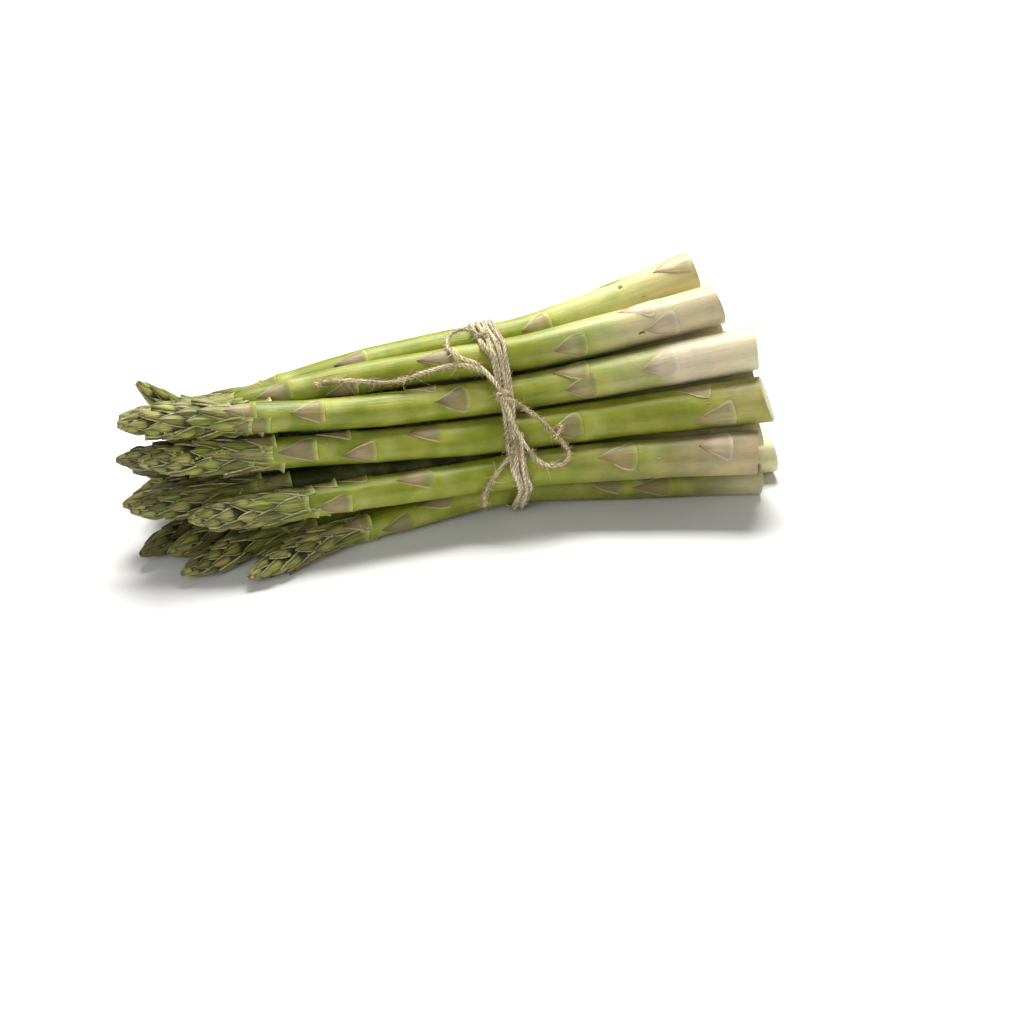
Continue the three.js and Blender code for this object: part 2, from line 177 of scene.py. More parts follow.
SPEARS = [
    dict(row=0, place=-1.5, butt=(-34, 8), head=(-32, 6), ends=(89, -97), girth=0.92, hook=(-11, 0),
         cut=1.02, leaves=[(57, 15), (40, 35), (-22, 60), (-38, 5)]),
    dict(row=0, place=-0.5, butt=(-20, 8), head=(-26, 6), ends=(99, -118), girth=0.94, hook=(-11, 0)),
    dict(row=0, place=0.5, butt=(-3, 8), head=(-13, 7), ends=(82, -121), girth=0.96, hook=(-12.5, 2)),
    dict(row=0, place=1.5, butt=(15, 8), head=(0, 7), ends=(78, -130), girth=0.96, hook=(-18, 0)),
    dict(row=1, place=-2, butt=(-44, 23), head=(-28, 21), ends=(83, -113), girth=1.03, hook=(0, 0),
         leaves=[(74, 58), (42, 45), (22, 170), (-30, 63), (-52, 126), (-59, 3)]),
    dict(row=1, place=-1, butt=(-27, 23), head=(-16, 20), ends=(91, -131), girth=0.95, hook=(0, 0)),
    dict(row=1, place=0, butt=(-6, 24), head=(-3, 18), ends=(88, -133), girth=1, hook=(-2, 1)),
    dict(row=1, place=1, butt=(12, 24), head=(10, 17), ends=(83, -123), girth=0.95, hook=(0, 0)),
    dict(row=1, place=2, butt=(30, 20), head=(18, 6), ends=(79, -127), girth=1, hook=(4, 0)),
    dict(row=2, place=-1.5, butt=(-34, 38), head=(-17, 39), ends=(91, -126), girth=1.03, hook=(0, 0),
         leaves=[(77, -6), (70, 98), (25, 20), (-25, 72), (-48, 6), (-56, 111), (-68, 36)]),
    dict(row=2, place=-0.5, butt=(-16, 38), head=(-8, 30), ends=(89, -133), girth=0.96, hook=(0, 6)),
    dict(row=2, place=0.5, butt=(2, 40), head=(3, 25), ends=(82, -128), girth=0.95, hook=(-3, 0)),
    dict(row=2, place=1.5, butt=(20, 39), head=(23, 16), ends=(86, -119), girth=1, hook=(3, 0)),
    dict(row=3, place=-1, butt=(-24, 53), head=(-13, 49), ends=(88, -131), girth=1.03, hook=(0, 0),
         leaves=[(60, 33), (32, 9), (30, 75), (-14, 33), (-24, 117), (-64, 45), (-82, -3)]),
    dict(row=3, place=0, butt=(-5, 54), head=(26, 24), ends=(83, -126), girth=0.96, hook=(0, 0)),
    dict(row=3, place=1, butt=(14, 53), head=(38, 20), ends=(79, -118), girth=0.97, hook=(2, 2)),
    dict(row=4, place=-0.5, butt=(-10, 63), head=(-2, 43), ends=(78, -130), girth=1, hook=(0, 6),
         hook_from=-90, cut=1.24, leaves=[(62, 6), (56, 87), (30, 15), (-15, 57), (-50, -3), (-72, 48)]),
    dict(row=4, place=0.5, butt=(8, 72), head=(11, 31), ends=(76, -122), girth=0.96, hook=(0, 21),
         hook_from=-95, cut=1.26, leaves=[(75, 78), (52, 140), (22, 45), (-43, 54), (-74, 66)]),
]
NUMBERS = range(len(SPEARS))


def bow(t):
    """How far a bending spear has moved at a share t of its way, with a soft start at the twine."""
    return (np.hypot(t, SOFTNESS) - SOFTNESS) / (math.hypot(1, SOFTNESS) - SOFTNESS)


def radius_at(i, x):
    """A spear's radius at x, with the scales of its head."""
    s = SPEARS[i]
    x = np.asarray(x, float)
    butt, tip = s["ends"]
    stem_girth = np.where(
        x > 0,
        1 + (s.get("cut", BUTT_GIRTH) - 1) * x / butt,
        1 - (1 - NECK_GIRTH) * np.minimum(1, x / NECK_FROM),
    )
    from_tip = x - tip
    swell = stem_girth + (HEAD_GIRTH - stem_girth) * rise(from_tip, HEAD_LENGTH, TAPER_LENGTH)
    taper = HEAD_GIRTH * np.sqrt(1 - (1 - np.clip(from_tip / TAPER_LENGTH, 0, 1)) ** TAPER_ROUNDNESS)
    girth = np.where(from_tip > HEAD_LENGTH, stem_girth, np.where(from_tip > TAPER_LENGTH, swell, taper))
    return TIE_RADIUS * s["girth"] * girth


def settle(start, radii, floors):
    """Pushes round stems apart, in one plane across the bunch, until they only touch."""
    spots = [list(p) for p in start]
    for _ in range(SETTLE_ROUNDS):
        for i, a in enumerate(spots):
            for j in range(i + 1, len(spots)):
                b = spots[j]
                away = (b[0] - a[0], b[1] - a[1])
                distance = math.hypot(*away)
                push = (radii[i] + radii[j] + ROOM - distance) / 2 / distance
                if push > 0:
                    a[0] -= away[0] * push
                    a[1] -= away[1] * push
                    b[0] += away[0] * push
                    b[1] += away[1] * push
            a[1] = max(a[1], floors[i]) if SPEARS[i]["row"] else floors[i]
    return np.array(spots)


def radii_at(x):
    return [float(radius_at(i, x)) for i in NUMBERS]


HEAD_RADII = [TIE_RADIUS * s["girth"] * HEAD_GIRTH for s in SPEARS]
ROW_PITCH = STEM_PITCH * math.sqrt(3) / 2
TIE = settle(
    [(s["place"] * STEM_PITCH, TIE_RADIUS + LIFT + s["row"] * ROW_PITCH) for s in SPEARS],
    radii_at(0),
    [r + LIFT for r in radii_at(0)],
)
BUTT = settle([s["butt"] for s in SPEARS], radii_at(BUTT_PLANE), radii_at(BUTT_PLANE))
HEAD = settle([s["head"] for s in SPEARS], HEAD_RADII, HEAD_RADII)
HALFWAY = TIE + (HEAD - TIE) * bow(NECK_PLANE / TIP_PLANE)
NECK = settle(HALFWAY, radii_at(NECK_PLANE), radii_at(NECK_PLANE))


def aside(x):
    """How much of a neck's step aside a spear has at x: none at the twine and at the head."""
    return np.where(x > 0, 0, np.sin(math.pi * np.clip(x / TIP_PLANE, 0, 1)) ** 2)


def centre_at(i, x):
    """Points on a spear's middle line."""
    s = SPEARS[i]
    x = np.asarray(x, float)
    f = bow(x / np.where(x > 0, BUTT_PLANE, TIP_PLANE))
    bend_from = s.get("hook_from", HOOK_FROM)
    hook = np.clip((x - bend_from) / (s["ends"][1] - bend_from), 0, None) ** 2
    step = aside(x) / aside(NECK_PLANE)
    spot = [
        TIE[i][k] + (np.where(x > 0, BUTT[i][k], HEAD[i][k]) - TIE[i][k]) * f
        + s["hook"][k] * hook + (NECK[i][k] - HALFWAY[i][k]) * step
        for k in (0, 1)
    ]
    if s["row"] == 0:
        rest = radius_at(i, np.maximum(x, s["ends"][1] + TIP_REST)) - FLAT
        spot[1] = rest + LIFT * peak(x, 0, LIFT_REACH) + s["hook"][1] * hook
    return stacked(x, *spot)


def off_spear(i, x, angle, distance):
    """Points at a distance from a spear's middle line, on the side that the angle gives."""
    x, angle, distance = np.broadcast_arrays(np.asarray(x, float), angle, distance)
    along = unit(centre_at(i, x + 0.5) - centre_at(i, x - 0.5))
    upward = unit(np.array([0, 0, 1.0]) - along * along[..., 2:])
    frontward = np.cross(along, upward)
    a = np.radians(angle)[..., None]
    out = frontward * np.cos(a) + upward * np.sin(a)
    return centre_at(i, x) + out * distance[..., None]


# Meshes
class Sheets:
    """Grids of points gathered into one mesh, each point with a tone and a place in the grain."""

    def __init__(self):
        self.points, self.tones, self.grains, self.faces = [], [], [], []
        self.count = 0

    def add(self, points, tone, grain, closed=False):
        """Adds one grid of points, or a stack of them. A closed one joins its last column to its first."""
        index = self.count + np.arange(points[..., 0].size).reshape(points.shape[:-1])
        if closed:
            index = np.concatenate([index, index[..., :1]], -1)
        corners = (index[..., :-1, :-1], index[..., :-1, 1:], index[..., 1:, 1:], index[..., 1:, :-1])
        self.faces.append(np.stack(corners, -1).reshape(-1, 4))
        self.points.append(points.reshape(-1, 3))
        self.tones.append(np.broadcast_to(tone, (*points.shape[:-1], 4)).reshape(-1, 4))
        self.grains.append(np.broadcast_to(grain, points.shape).reshape(-1, 3))
        self.count += points[..., 0].size

    def finished(self, name, material, node=None, slot=None):
        """Makes the piece, in metres and above the floor, and hides the node it replaces."""
        points = (np.concatenate(self.points) + ORIGIN) * MM
        points[:, 2] = np.maximum(points[:, 2], 0)
        faces = np.concatenate(self.faces)
        mesh = bpy.data.meshes.new(name)
        mesh.vertices.add(len(points))
        mesh.vertices.foreach_set("co", points.astype(np.float32).ravel())
        mesh.loops.add(faces.size)
        mesh.loops.foreach_set("vertex_index", faces.astype(np.int32).ravel())
        mesh.polygons.add(len(faces))
        mesh.polygons.foreach_set("loop_start", np.arange(0, faces.size, 4, dtype=np.int32))
        mesh.update(calc_edges=True)
        mesh.validate()
        tone = mesh.attributes.new("tone", "FLOAT_COLOR", "POINT")
        tone.data.foreach_set("color", np.concatenate(self.tones).astype(np.float32).ravel())
        grain = mesh.attributes.new("grain", "FLOAT_VECTOR", "POINT")
        grain.data.foreach_set("vector", np.concatenate(self.grains).astype(np.float32).ravel())
        mesh.shade_smooth()
        mesh.materials.append(material)
        piece = placed(name, mesh)
        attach(piece, "root")
        if node:
            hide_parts(node)
        return piece


def with_wax(tone, wax):
    """The tone with a fourth value that the skin's finish reads: wax above 0, dry fibre below it."""
    wax = np.broadcast_to(np.asarray(wax, float), tone.shape[:-1])
    return np.concatenate([tone, wax[..., None]], -1)


# Tones of the plant
SKIN = {name: colour(code) for name, code in {
    "green": "#848d27",
    "deep": "#5c6819",
    "bright": "#a9ad35",
    "lip": "#c3ca72",
    "tan": "#a49164",
    "mauve": "#9a8573",
    "point": "#6b5248",
    "rim": "#d9d2a4",
    "white": "#e9e2d0",
    "blush": "#c4ad9b",
    "rust": "#9c705a",
    "olive": "#858a3c",
    "umber": "#4a3e2d",
    "shade": "#171a0b",
    "bud": "#8b9238",
    "cream": "#e2dcb8",
    "wood": "#b3a070",
    "straw": "#c9bd7c",
    "bloom": "#c3c98c",
    "pink": "#bda093",
    "wax": "#b2b65f",
    "pale speck": "#d3d496",
    "dark speck": "#5c5a2a",
    "scuff": "#cccc86",
}.items()}
HEAD_TINT = (0.94, 1.01, 0.76)  # the scales of a head are less blue than the skin's tones

# For each spear: its cut end's tone, the stem's tone before that, x from where the end has its tone fully,
# how many millimetres the change takes, how dark the head is, how loosely its scales stand, and how much
# the cut leans back at the top.
Look = namedtuple("Look", "end, middle, full_from, change, dark, loose, bevel")
LOOKS = [Look(colour(end), colour(middle), *rest) for end, middle, *rest in (
    ("#c4bd9c", "#6f6b30", 86, 26, 0.12, 0.7, 0.0),
    ("#f0e8c8", "#9a9c55", 84, 22, 0.3, 0.3, 0.1),
    ("#bfc085", "#9a9c55", 80, 30, 0.4, 0.12, 0.0),
    ("#cdbfa4", "#9a9c55", 72, 24, 0.9, 0.0, 0.0),
    ("#b5a086", "#87814a", 78, 34, 0.08, 0.32, 0.0),
    ("#cfc9a6", "#9a9c55", 78, 24, 0.3, 0.1, 0.2),
    ("#b4b380", "#9a9c55", 80, 30, 0.5, 0.1, 0.0),
    ("#d2c5aa", "#9a9c55", 76, 30, 0.5, 0.1, 0.0),
    ("#c4ba94", "#9a9c55", 72, 24, 0.4, 0.1, 0.1),
    ("#a09e46", "#888d24", 86, 34, 0.05, 0.5, 0.3),
    ("#a9a67c", "#9a9c55", 78, 30, 1.0, 0.3, 0.0),
    ("#d0c3a8", "#9a9c55", 74, 26, 0.8, 0.3, 0.0),
    ("#c8c592", "#9a9c55", 78, 30, 0.4, 0.2, 0.1),
    ("#eaddc9", "#b6b27c", 60, 9, 0.0, 0.8, 0.0),
    ("#c9baa2", "#9a9c55", 76, 28, 0.4, 0.2, 0.1),
    ("#cdc896", "#a3a45a", 70, 30, 0.3, 0.2, 0.1),
    ("#dccab4", "#cbc794", 60, 24, 0.1, 0.3, 0.1),
    ("#d6cf96", "#cbcd8a", 66, 30, 0.0, 0.35, 0.04),
)]
INNER = (6, 7, 8, 11, 12, 13, 15, 16)  # the numbers of spears that are seen only between others

# The stem
STEM_STEP = 1.9
STEM_SIDES = 32
CORE_GAP = 1.5  # how deep the head's core lies under the scales' outside
CORE_SINK = 14  # how far from the head's lower end that depth is reached
CORE_END = (-3, 9)  # from the tip: where it runs out
GREENING = 150  # from the tip: how far the stem goes on getting brighter
TO_MIDDLE = (4, 46)  # x between which a stem takes its tone before the cut end
NECK_SHADE = (-40, -85)  # x between which it gets darker towards the head
INNER_DEEP = (60, 35)  # and where an inner stem gets darker, and then nearly black: painted shade, as it lies between others
INNER_SHADE = (50, 25)
UNDER_SCALES = (39, 31)  # from the tip: where the core under the scales turns to a dark painted shade, and then to a nearly black one
CORE_SHADE = (34, 24)
LEAF_ZONE = 58  # degrees to each side of a scale leaf where the stem is brighter behind it
LEAF_GLOW = 4  # how soon that fades along the stem
BLOOM_AT = 4.5  # behind the leaf: where its pale bloom is strongest
BLOOM_WIDTH = 2.6
STEM_WAVES = [  # height of each wave of the skin, waves round the stem, and its change along a millimetre
    (0.09, 5, 0.02),
    (0.06, 9, -0.03),
    (0.04, 17, 0),
    (0.12, 0, 1 / 15),
    (0.07, 0, 1 / 6.1),
]
OVAL = 0.16
SWELLING_ZONE = 75  # degrees to each side of a scale leaf where the stem swells at its base
SWELLING_AT = 0.6
SWELLING_WIDTH = 1.8
HOLLOW = 0.22  # under the leaf
HOLLOW_AT = -7
HOLLOW_WIDTH = 5
CUT_REACH = 12  # how far from the cut end its slant is felt
CUT_LIP = 0.25  # how much the skin draws in at the cut
CUT_DISH = 0.3
CUT_RINGS = np.array([1, 0.97, 0.92, 0.8, 0.62, 0.4, 0.2, 0.002])[:, None, None]


def leaf_list(i):
    """Where a spear's scale leaves stand: x and side of each."""
    s = SPEARS[i]
    head_start = s["ends"][1] + HEAD_LENGTH
    by_rule = [
        (head_start + share * (s["ends"][0] - head_start), i * TURN + k * GOLDEN)
        for k, share in enumerate(LEAF_SHARES)
    ]
    leaves = s.get("leaves", by_rule)
    return [p for p in leaves if p[0] < -TIE_CLEAR or p[0] - LEAF_LENGTH > TIE_CLEAR]


def gap_at(from_tip):
    """How deep the core lies under the head's outside."""
    return CORE_GAP * rise(from_tip, HEAD_LENGTH, HEAD_LENGTH - CORE_SINK) * rise(from_tip, *CORE_END)


def stem_tone(i, x, angle, leaves):
    """The stem's tone, paler at the cut end and brighter behind each scale leaf, with painted shade on its
    underside, on inner stems and on the head's core.
    """
    look = LOOKS[i]
    tip = SPEARS[i]["ends"][1]
    deep, shade = SKIN["deep"], SKIN["shade"]
    x, angle = np.broadcast_arrays(np.asarray(x, float), angle)
    painted_underside_shade = np.clip(-np.sin(np.radians(angle)), 0, 1)
    tone = mixed(SKIN["green"], SKIN["bright"], 0.05 + 0.3 * rise(x, tip, tip + GREENING))
    tone = washed(tone, x, [(look.middle, 0.9, *TO_MIDDLE), (deep, 0.4, *NECK_SHADE)])
    # painted shade: the stem darker on its underside
    tone = mixed(tone, deep, 0.35 * painted_underside_shade)
    # painted shade on an inner stem, which lies between others
    if i + 1 in INNER:
        tone = washed(tone, x, [(deep, 0.85, *INNER_DEEP), (shade, 0.72, *INNER_SHADE)])
    for base, side in leaves:
        near = facing(angle, side, LEAF_ZONE)
        behind = np.where(x >= base - 1, np.exp(-np.clip(x - base, 0, None) / LEAF_GLOW), 0)
        tone = mixed(tone, SKIN["bright"], 0.8 * near * behind)
        tone = mixed(tone, SKIN["bloom"], 0.35 * near ** 2 * peak(x, base + BLOOM_AT, BLOOM_WIDTH))
    at_end = rise(x, look.full_from - look.change, look.full_from)
    tone = mixed(tone, look.end, 0.95 * at_end)
    patches = ramp(0.4 + 0.6 * np.sin(x / 7.3 + 2.1 * i) * np.cos(np.radians(angle) - 1.2 * i))
    tone = mixed(tone, SKIN["pink"], 0.3 * patches * at_end * rise(i, 3, 5))
    # painted shade on the head's core, so that the gaps between its scales read dark
    core_shade_tone = mixed(deep, SKIN["umber"], 0.3 + 0.6 * look.dark)
    return washed(tone, x - tip, [(core_shade_tone, 0.8, *UNDER_SCALES), (shade, 0.9, *CORE_SHADE)])


def stem(sheets, i, leaves, rng):
    """A spear's stem with the core of its head, from the cut end to the tip."""
    butt, tip = SPEARS[i]["ends"]
    phase = rng.uniform(0, 2 * math.pi, 8)
    x = np.linspace(butt, tip + 0.6, int((butt - tip) / STEM_STEP))[:, None]
    angle = (np.arange(STEM_SIDES) * 360 / STEM_SIDES + i * TURN)[None, :]
    x, angle = np.broadcast_arrays(x, angle)
    a = np.radians(angle)
    cut_radius = float(radius_at(i, butt))
    slant = SLANT * math.sin(i * TURN) * cut_radius * np.cos(a)
    slant = slant - LOOKS[i].bevel * cut_radius * (1 + np.sin(a))
    x = x + slant * np.clip(1 - (butt - x) / CUT_REACH, 0, 1)
    relief = OVAL * np.cos(2 * a + phase[5])
    for (high, round_it, along), start in zip(STEM_WAVES, phase):
        relief = relief + high * np.sin(round_it * a + along * x + start)
    for base, side in leaves:
        near = facing(angle, side, SWELLING_ZONE)
        swelling = 0.3 + 0.5 * float(rise(base, -30, -70))
        relief = relief + swelling * near * peak(x, base + SWELLING_AT, SWELLING_WIDTH)
        relief = relief - HOLLOW * near * peak(x, base + HOLLOW_AT, HOLLOW_WIDTH)
    relief = relief - CUT_LIP * peak(x, butt, 1.2)
    below_head = np.clip((x - tip - 30) / 20, 0, 1)
    radius = np.maximum(0.15, radius_at(i, x) - gap_at(x - tip) + relief * below_head)
    points = off_spear(i, x, angle, radius)
    wax = 0.5 + 0.5 * np.sin(x / 23 + phase[6]) * np.sin(a + phase[7])
    tone = with_wax(stem_tone(i, x, angle, leaves), wax * rise(x - tip, 40, 60))
    grain = stacked(x + i * 400, radius * np.cos(a) + i * 37, radius * np.sin(a))
    sheets.add(points, tone, grain, closed=True)
    cut_face(sheets, i, points[0], a[0])


def cut_face(sheets, i, rim, a):
    """The cut end: a slightly dished disc with a pale pith and darker strands near the skin."""
    middle = rim.mean(0)
    inward = unit(centre_at(i, SPEARS[i]["ends"][0] - 2) - middle)
    points = middle + (rim[None] - middle) * CUT_RINGS + inward * CUT_DISH * np.sqrt(1 - CUT_RINGS ** 2)
    rings = CUT_RINGS[..., 0] * np.ones(len(a))
    strands = rise(rings, 0.55, 0.95) * rise(rings, 1, 0.95)
    tone = mixed(SKIN["cream"], SKIN["wood"], 0.35 + 0.5 * strands)
    tone = mixed(tone, LOOKS[i].end, rise(rings, 0.94, 0.99))
    grain = stacked(i * 11.0, rings * 6 * np.cos(a), rings * 6 * np.sin(a))
    sheets.add(points, with_wax(tone, 0), grain, closed=True)


# Scale leaves, heads and buds
HEAD_FROM = 43  # from the tip: where the lowest head scale stands
HEAD_TO = 2.2  # from the tip: where the last one stands
SCALES = 44  # in a head
CROWDING = 1.2  # above 1, they stand closer together towards the tip
COLLAR = (1.5, 4, 7, 11)  # how far beyond the head's lowest scales a few single ones stand
COLLAR_SIDE = 60
COLLAR_CLEAR = 10  # what a single one keeps from a scale leaf, along the stem
COLLAR_CLEAR_ROUND = 60  # or round it
SCALE_LENGTH = 5.4  # at the tip
SCALE_GROWTH = 0.18  # how much longer a scale is for a millimetre from the tip
SCALE_WIDTH = 40  # half of it, in degrees
TUCK = (22, 38)  # from the tip: between these, the scales come to show their whole length
BUD_ZONE = (14, 38)  # from the tip: where buds show
BUD_COUNT = 8  # fewer than this many at a scale
BUD_ASIDE = (28, 46)  # degrees from the scale's middle
BUD_BEFORE = (2.5, 7)  # from the scale's base towards its point
BUD_SIZE = (0.45, 0.8)
BUD_PROUD = (0.5, 1.2)  # over the core
BUD_FORM = (1.35, 1, 1)
LEAF_WIDTH = 49  # half of it, in degrees
LIP_REACH = 0.08  # of a scale's length: how far its raised lip goes

# Rows from base to point, columns from edge to edge, how fast a scale narrows and how round it is, how far
# its edge turns down, how far its point bends aside, and how dry and fibrous it is.
LEAF_FORM = dict(rows=12, columns=13, taper=1.2, roundness=1.0, skirt=0.5, bend=5, fibre=0.12)
SCALE_FORM = dict(rows=10, columns=15, taper=1.9, roundness=0.85, skirt=0.6, fibre=1.0)


def scale(sheets, i, base, side, size, form, height, tones, rng):
    """One scale leaf, from its wide base to its point, with an edge that turns down to what lies under it.

    s runs from base to point and t from edge to edge. height(s, t, x) gives its height over the spear's
    outside, tones(s, t) its tone, and form["corner"] how far the corners of its base reach back.
    """
    length, width = size
    rows, columns = form["rows"], form["columns"]
    s = np.linspace(0, 1, rows)[:, None] ** 1.15
    t = np.linspace(-1, 1, columns)[None, :]
    s, t = np.broadcast_arrays(s, t)
    bend = rng.uniform(-1, 1) * form["bend"]
    x = base - length * (s + form["corner"] * t ** 2 * (1 - s) ** 2)
    half = width * (1 - s ** form["taper"]) ** form["roundness"] * (1 - 0.12 * np.exp(-s * 9))
    half = half * (1 + 0.05 * np.sin(9 * s + rng.uniform(0, 6)) * np.sign(t))
    angle = side + t * half + bend * s ** 2
    high = radius_at(i, np.maximum(x, SPEARS[i]["ends"][1] + 0.3)) + height(s, t, x)
    tone = with_wax(tones(s, t), -form["fibre"])
    grain = stacked(x * 0.8 + rng.uniform(0, 900), angle * 0.09, rng.uniform(0, 90))
    points = off_spear(i, x, angle, np.maximum(0.1, high))
    sheets.add(points, tone, grain)

    # the edge turned down: the border, and the border again lower down, there painted nearly black as shade
    down = form["skirt"]
    sunk = off_spear(i, x + 0.25 * down * (s < 0.01), angle, np.maximum(0.05, high - down))
    border = [(0, c) for c in range(columns)]
    border += [(r, columns - 1) for r in range(1, rows)]
    border += [(rows - 1, c) for c in range(columns - 2, -1, -1)]
    border += [(r, 0) for r in range(rows - 2, 0, -1)]
    r, c = np.array(border).T
    edge_tone = np.stack([tone[r, c], with_wax(mixed(tone[r, c, :3], SKIN["shade"], 0.85), 0)])
    sheets.add(np.stack([points[r, c], sunk[r, c]]), edge_tone, np.stack([grain[r, c]] * 2), closed=True)


def stem_leaf(sheets, i, base, side, rng, share=1.0, lifted=0.0):
    """A triangular scale leaf on the stem: greener and prouder near the head, paler near the cut end."""
    look = LOOKS[i]
    fade = float(rise(base, look.full_from - look.change, look.full_from))
    near_head = float(rise(base, -35, -70))
    to_middle = 0.55 * float(rise(base, *TO_MIDDLE))
    body = mixed(mixed(SKIN["tan"], SKIN["mauve"], rng.uniform(0.1, 0.8)), SKIN["olive"], rng.uniform(0, 0.3))
    body = mixed(body, look.middle, to_middle)
    body = mixed(body, mixed(SKIN["blush"], look.end, 0.45), fade)
    greenish = mixed(body, SKIN["olive"], 0.45 * (1 - fade))
    point = mixed(SKIN["point"], SKIN["rust"], max(fade, to_middle))
    lip = mixed(look.middle, SKIN["lip"], 0.4 + 0.6 * near_head)
    lip = mixed(lip, mixed(look.end, SKIN["white"], 0.5), fade)
    proud = 0.1 + 0.75 * near_head + lifted

    def tones(s, t):
        edge = np.abs(t)
        tone = washed(lip, s, [(greenish, 1, 0.01, 0.11), (body, 1, 0.08, 0.43), (point, 0.8, 0.45, 1)])
        tone = mixed(tone, point, 0.35 * rise(edge, 0.5, 0.8) * ramp(s * 3))
        return mixed(tone, SKIN["rim"], 0.85 * rise(edge, 0.86, 0.94) * ramp(s * 10) * ramp((1 - s) * 6))

    def height(s, t, x):
        keel = 0.34 * (1 - s) + 0.16 * s
        raised = proud * peak(s, 0, LIP_REACH) * (1 - 0.6 * t ** 2)
        return 0.06 + (keel + raised) * (1 - np.abs(t) ** 3)

    length = LEAF_LENGTH * rng.uniform(0.82, 1.06) * share
    width = LEAF_WIDTH * rng.uniform(0.9, 1.12) * share
    form = dict(LEAF_FORM, corner=0.1 - 0.14 * near_head)
    scale(sheets, i, base, side, (length, width), form, height, tones, rng)


def head_scale(sheets, i, from_tip, side, rng):
    """One scale of a head: keeled and ribbed, with a pale rim, painted shade on its covered base and inside
    its rim, and longer on a head that is still tight.
    """
    dark, loose = LOOKS[i].dark, LOOKS[i].loose
    tip = SPEARS[i]["ends"][1]
    up = min(1, from_tip / HEAD_FROM)
    tight = max(0, 1 - loose / 0.35)
    tuck = float(rise(from_tip, *TUCK))
    length = SCALE_LENGTH + SCALE_GROWTH * from_tip
    length *= rng.uniform(0.86, 1.12) * (1 + 0.15 * loose + 0.4 * tight)
    length = min(length, from_tip * 0.98)
    width = SCALE_WIDTH + 5 * float(rise(up, 0.62, 0.92)) + 24 * (1 - up) ** 3
    width *= rng.uniform(0.86, 1.08) * (1 - 0.16 * loose - 0.14 * tight)
    high = rng.uniform(0.8, 1.2)
    body = mixed(SKIN["olive"], mixed(SKIN["tan"], SKIN["mauve"], rng.uniform(0, 1)), rng.uniform(0.0, 0.8))
    body = mixed(body, SKIN["umber"], dark * rng.uniform(0.4, 0.9))
    body = body * rng.uniform(0.74, 1.5) * HEAD_TINT
    body = mixed(body, SKIN["straw"], float(rise(from_tip, 11, 2)) * (0.7 - 0.6 * dark))
    body = mixed(body, SKIN["deep"], 0.35 * tuck)
    lip = mixed(SKIN["lip"], body, 0.25 + 0.6 * dark + 0.15 * (1 - up))
    point = mixed(SKIN["point"], SKIN["umber"], 0.1 + 0.7 * dark)
    rim = mixed(SKIN["rim"], body, 0.02 + dark * 0.35)
    shade = SKIN["shade"]
    # painted shade on the base of the scale, where the scales below cover it
    painted_base_shade = 0.95 * (1 - tuck)
    flare = rng.uniform(0.2, 1) * (rng.uniform() < 0.25 + 0.5 * loose) * (0.4 + 1.1 * loose)

    def tones(s, t):
        edge = np.abs(t)
        tone = washed(lip, s, [(body, 1, 0.02, 0.16), (shade, painted_base_shade, 0.44, 0.28), (point, 0.55, 0.55, 1)])
        on_keel = peak(t, 0, 0.2) * ramp(s * 2) * ramp((1 - s) * 2)
        tone = mixed(tone, SKIN["lip"], 0.22 * on_keel * (1 - dark))
        # painted shade: a dark line inside the pale rim
        tone = mixed(tone, shade, 0.8 * peak(edge, 0.72, 0.12) * ramp(s * 3))
        return mixed(tone, rim, 0.9 * rise(edge, 0.84, 0.94) * ramp(s * 4))

    def height(s, t, x):
        gap = gap_at(x - tip)
        closing = 0.3 + 0.7 * rise(x - tip, 0, 8)
        over = (0.3 + gap * (0.1 + 0.95 * ramp(s * 1.5))) * high * closing
        raised = 0.55 * tuck * peak(s, 0, LIP_REACH) * (1 - 0.3 * t ** 2)
        crown = 1 - 0.42 * np.abs(t) ** 1.6 * (1 - 0.6 * tuck * (1 - s))
        ribs = 0.05 * np.cos(9 * t + high * 9) + 0.12 * peak(t, 0, 0.14)
        return (over + raised + flare * s ** 3 * closing) * (crown + ribs) - gap

    form = dict(SCALE_FORM, bend=4 + 12 * loose, corner=0.1 - 0.16 * tuck)
    scale(sheets, i, tip + from_tip, side, (length, width), form, height, tones, rng)


def buds(sheets, i, from_tip, side, rng):
    """Small flower buds that bulge out beside a head scale, on the loosest heads, with painted shade on one
    half.
    """
    count = int(rng.integers(0, BUD_COUNT)) if LOOKS[i].loose > 0.4 else 0
    tip = SPEARS[i]["ends"][1]
    u = np.linspace(0, math.pi, 5)[:, None]
    v = (np.arange(6) * math.pi / 3)[None, :]
    ball = stacked(np.cos(u), np.sin(u) * np.cos(v), np.sin(u) * np.sin(v))
    middle = side + rng.choice([-1, 1]) * rng.uniform(*BUD_ASIDE)
    for _ in range(count):
        x = tip + from_tip - rng.uniform(*BUD_BEFORE)
        angle = middle + rng.uniform(-12, 12)
        size = rng.uniform(*BUD_SIZE)
        at = off_spear(i, x, angle, radius_at(i, x) - gap_at(x - tip) + rng.uniform(*BUD_PROUD))
        tone = mixed(SKIN["bud"], SKIN["lip"], rng.uniform(0, 0.6))
        # painted shade: each bud darker on its half towards the cut end
        tone = mixed(tone, SKIN["shade"], ramp(0.1 + ball[..., 0]))
        sheets.add(at + ball * size * BUD_FORM, with_wax(tone, 0), at + ball * 3, closed=True)


# Small side buds and scars on the stems: the spear's number, x, side, and size.
MARKS = [
    (17, 49, -3, 1.5), (17, 62, 3, 0.9), (18, 49, 69, 1.1), (18, 55, 9, 0.8), (10, 62, 90, 1.2),
    (10, 68, 40, 0.8), (14, 58, 12, 0.8), (5, 49, 30, 0.9), (9, 40, 60, 1.0), (16, 44, 80, 1.0),
    (13, 52, 120, 1.0), (6, 60, 50, 0.9),
]
# The two parts of each: how far it lies aside, how thick it is, how high it stands, and its tone. The second
# is its painted shadow.
MARK_PARTS = [(0, 0.5, 0.05, "lip"), (0.75, 0.28, -0.05, "umber")]


